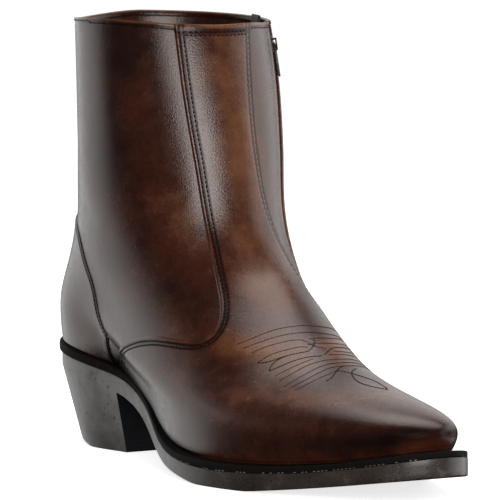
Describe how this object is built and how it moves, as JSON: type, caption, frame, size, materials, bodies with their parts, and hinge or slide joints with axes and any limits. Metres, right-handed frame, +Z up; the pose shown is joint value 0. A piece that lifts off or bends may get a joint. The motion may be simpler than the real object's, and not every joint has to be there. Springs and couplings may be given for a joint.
{
  "type": "western side-zip ankle boot, right",
  "caption": "Right ankle boot of western build: burnished brown leather, inner side zip, stitched vamp, welted leather sole, underslung stacked heel.",
  "frame": {"origin": "middle of the bounding box, on the floor", "axes": "+X towards the toe, +Y towards the inner side of the foot, +Z up"},
  "size_m": [0.3002, 0.1001, 0.1947],
  "materials": {
    "upper_leather": "burnished, glossy",
    "black_edge": "dyed black, satin",
    "sole_leather": "stained grey brown, satin",
    "lining": "matte",
    "heel_rubber": "matte",
    "zip_tape": "woven, matte",
    "zip_metal": "antique, darkened"
  },
  "bodies": {
    "boot": {"upper": "upper_leather", "vamp": "upper_leather", "counter": "upper_leather", "welt": "black_edge", "heel_rand": "black_edge", "outsole": "sole_leather", "insole": "lining", "heel_block": "sole_leather", "heel_cap": "heel_rubber", "zip": "zip_tape", "zip_slider": "zip_metal"},
    "pull": {"zip_pull": "zip_metal"}
  },
  "joints": [
    {"name": "zip_pull_hinge", "type": "hinge", "parent": "boot", "child": "pull", "pos_m": [-0.04554, 0.03935, 0.18348], "axis": [0.7184, -0.6317, 0.2912], "range_deg": [0, 165]}
  ]
}
